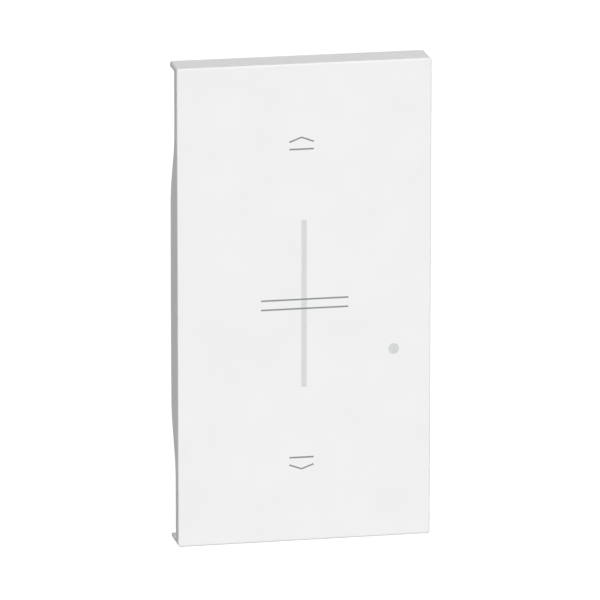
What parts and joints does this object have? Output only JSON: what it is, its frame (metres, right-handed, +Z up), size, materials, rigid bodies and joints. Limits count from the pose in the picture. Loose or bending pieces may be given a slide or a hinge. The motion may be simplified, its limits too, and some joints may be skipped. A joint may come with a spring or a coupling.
{
  "type": "rocker dimmer switch",
  "caption": "Wall dimmer insert: a tall white rocking key with arrow marks, light bar and status light, clipped on a hinged cradle over push switches, a steel strap and a rear terminal housing.",
  "frame": {"origin": "on the wall plane, half way between the two fixing slots of the mounting strap", "axes": "+X to the right as seen from the front, +Y into the wall, +Z up; the key faces -Y"},
  "size_m": [0.045, 0.0315, 0.0858],
  "materials": {
    "white_plastic": "white moulded plastic, satin",
    "clear_plastic": "pale grey translucent plastic",
    "grey_plastic": "light grey moulded plastic, satin",
    "dark_plastic": "near-black moulded plastic, matt",
    "steel": "zinc-plated steel",
    "brass": "plain brass",
    "copper": "enamelled copper wire",
    "aluminium": "bare aluminium sheet",
    "board": "green circuit board",
    "ferrite": "sintered ferrite, matt",
    "film_case": "amber moulded case",
    "sleeve": "dark blue shrink sleeve",
    "led": "pale light-emitting chip"
  },
  "bodies": {
    "base": {"hinge_pin_left": "steel", "hinge_pin_right": "steel", "chassis": "grey_plastic", "mounting_strap": "steel", "control_board": "board", "board_header": "dark_plastic", "upper_switch_body": "dark_plastic", "lower_switch_body": "dark_plastic", "level_led_1": "led", "level_led_2": "led", "level_led_3": "led", "level_led_4": "led", "level_led_5": "led", "status_led": "led", "control_chip": "dark_plastic", "upper_return_spring": "steel", "lower_return_spring": "steel", "rear_housing": "dark_plastic", "housing_screw_upper_left": "steel", "housing_screw_upper_right": "steel", "housing_screw_lower_left": "steel", "housing_screw_lower_right": "steel", "power_board": "board", "bulk_capacitor": "sleeve", "fuse": "dark_plastic", "film_capacitor": "film_case", "choke_core": "ferrite", "choke_winding": "copper", "heat_sink": "aluminium", "transistor_left": "dark_plastic", "transistor_right": "dark_plastic", "terminal_cage_1": "brass", "terminal_screw_1": "steel", "terminal_cage_2": "brass", "terminal_screw_2": "steel", "terminal_cage_3": "brass", "terminal_screw_3": "steel"},
    "rocker": {"key_cover": "white_plastic", "level_light_bar": "clear_plastic", "status_light_pipe": "clear_plastic", "rocker_cradle": "grey_plastic"},
    "upper_button": {"upper_switch_button": "white_plastic"},
    "lower_button": {"lower_switch_button": "white_plastic"}
  },
  "joints": [
    {"name": "rocker_tilt", "type": "hinge", "parent": "base", "child": "rocker", "pos_m": [0, -0.0052, 0], "axis": [-1, 0, 0], "range_deg": [-2.5, 2.5], "stiffness_Nm_per_rad": 0.6, "deforming": ["upper_return_spring", "lower_return_spring"]},
    {"name": "upper_button_press", "type": "slide", "parent": "base", "child": "upper_button", "axis": [0, 1, 0], "range_m": [-0.0005, 0.0005]},
    {"name": "lower_button_press", "type": "slide", "parent": "base", "child": "lower_button", "axis": [0, 1, 0], "range_m": [-0.0005, 0.0005]}
  ],
  "couplings": [
    {"joint": "upper_button_press", "follows": "rocker_tilt", "m_per_rad": 0.01},
    {"joint": "lower_button_press", "follows": "rocker_tilt", "m_per_rad": -0.01}
  ]
}
